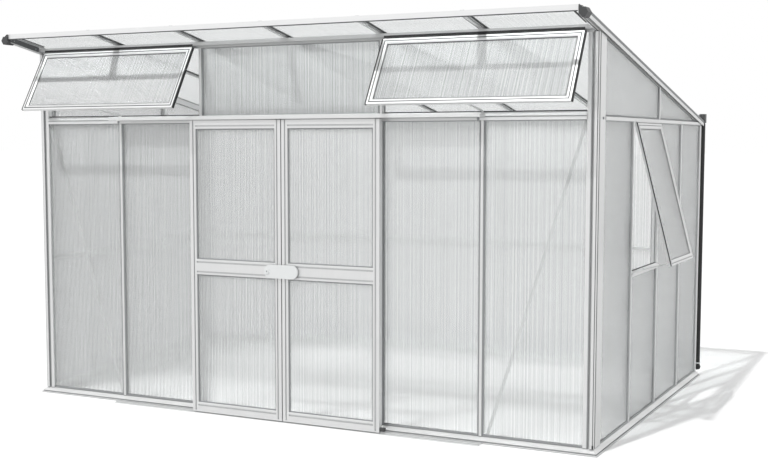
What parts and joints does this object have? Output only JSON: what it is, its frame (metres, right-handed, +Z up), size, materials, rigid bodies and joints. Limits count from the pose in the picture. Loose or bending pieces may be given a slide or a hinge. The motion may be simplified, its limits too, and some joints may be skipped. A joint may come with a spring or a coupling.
{
  "type": "greenhouse with a pent roof",
  "caption": "Walk-in greenhouse with a single-slope roof, sliding double doors, propped front vents, a propped side vent and a rear gutter with a downpipe.",
  "frame": {"origin": "on the ground under the middle of the front wall's outer face", "axes": "+X along the front wall to the right as seen from outside, +Y to the rear, +Z up"},
  "size_m": [4.0585, 2.998, 2.3805],
  "materials": {
    "mill_aluminium": "mill-finish extruded aluminium, soft sheen",
    "twin_wall_sheet": "translucent twin-wall polycarbonate sheet with fine upright flutes",
    "dark_plastic": "moulded dark grey plastic",
    "white_plastic": "moulded white plastic"
  },
  "bodies": {
    "root": {"base_front": "mill_aluminium", "base_left": "mill_aluminium", "base_rear": "mill_aluminium", "base_right": "mill_aluminium", "brace_left": "mill_aluminium", "brace_right": "mill_aluminium", "clerestory_post_left": "mill_aluminium", "clerestory_post_right": "mill_aluminium", "clerestory_sheet": "twin_wall_sheet", "corner_post_front_left": "mill_aluminium", "corner_post_front_right": "mill_aluminium", "corner_post_rear_left": "mill_aluminium", "corner_post_rear_right": "mill_aluminium", "door_jamb_left": "mill_aluminium", "door_jamb_right": "mill_aluminium", "door_track_bottom": "mill_aluminium", "door_track_top": "mill_aluminium", "downpipe": "dark_plastic", "edge_cap_left": "dark_plastic", "edge_cap_right": "dark_plastic", "front_bar_left": "mill_aluminium", "front_bar_right": "mill_aluminium", "front_sheet_left_1": "twin_wall_sheet", "front_sheet_left_2": "twin_wall_sheet", "front_sheet_right_1": "twin_wall_sheet", "front_sheet_right_2": "twin_wall_sheet", "gable_frame_left": "mill_aluminium", "gable_frame_right": "mill_aluminium", "gable_sheet_left": "twin_wall_sheet", "gable_sheet_right_1": "twin_wall_sheet", "gable_sheet_right_2": "twin_wall_sheet", "gable_sheet_right_3": "twin_wall_sheet", "gable_top_sheet_left": "twin_wall_sheet", "gable_top_sheet_right": "twin_wall_sheet", "gable_vent_frame": "mill_aluminium", "gable_vent_sheet": "twin_wall_sheet", "gutter_cap_left": "dark_plastic", "gutter_cap_right": "dark_plastic", "rake_bar_left": "mill_aluminium", "rake_bar_right": "mill_aluminium", "rear_frame": "mill_aluminium", "rear_gutter": "mill_aluminium", "rear_sheet": "twin_wall_sheet", "roof_frame": "mill_aluminium", "roof_sheet": "twin_wall_sheet", "top_rail_front": "mill_aluminium", "transom_front": "mill_aluminium", "vent_frame_left": "mill_aluminium", "vent_frame_right": "mill_aluminium", "vent_sheet_left": "twin_wall_sheet", "vent_sheet_right": "twin_wall_sheet"},
    "left_leaf": {"door_frame_left": "mill_aluminium", "door_sheet_left_lower": "twin_wall_sheet", "door_sheet_left_upper": "twin_wall_sheet"},
    "right_leaf": {"door_frame_right": "mill_aluminium", "door_sheet_right_lower": "twin_wall_sheet", "door_sheet_right_upper": "twin_wall_sheet"},
    "latch": {"door_latch": "white_plastic"}
  },
  "joints": [
    {"name": "left_leaf_slide", "type": "slide", "parent": "root", "child": "left_leaf", "axis": [-1, 0, 0], "range_m": [0, 0.6]},
    {"name": "right_leaf_slide", "type": "slide", "parent": "root", "child": "right_leaf", "axis": [1, 0, 0], "range_m": [0, 0.6]},
    {"name": "latch_turn", "type": "hinge", "parent": "left_leaf", "child": "latch", "pos_m": [-0.089, -0.084, 0.917], "axis": [0, -1, 0], "range_deg": [0, 90]}
  ]
}
